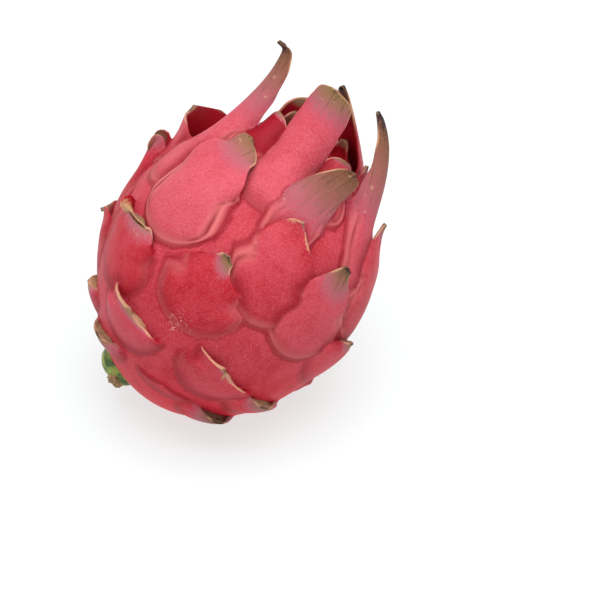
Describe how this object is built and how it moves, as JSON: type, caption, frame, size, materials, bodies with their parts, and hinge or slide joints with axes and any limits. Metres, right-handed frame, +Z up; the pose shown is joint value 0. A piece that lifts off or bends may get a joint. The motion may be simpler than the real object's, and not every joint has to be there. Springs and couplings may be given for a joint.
{
  "type": "dragon fruit",
  "caption": "Whole ripe dragon fruit, as picked: egg-shaped red body with leafy scales, tall horns round the crown and a stub of green stem near the base.",
  "frame": {"origin": "centre of the small flat spot that the fruit lies on, at the lowest point of its body", "axes": "+Z up. The fruit's own axis leans 40 degrees from +Z, with the crown towards +X and +Y. The picture looks along +Y, from 40 degrees above"},
  "size_m": [0.0933, 0.0894, 0.1141],
  "materials": {
    "rind": "waxy satin plant skin, rose red, with olive and brown scale tips",
    "stem": "matte green cactus stem with a corky tan end"
  },
  "bodies": {
    "root": {"fruit": "rind", "stem_stub": "stem"}
  },
  "joints": []
}
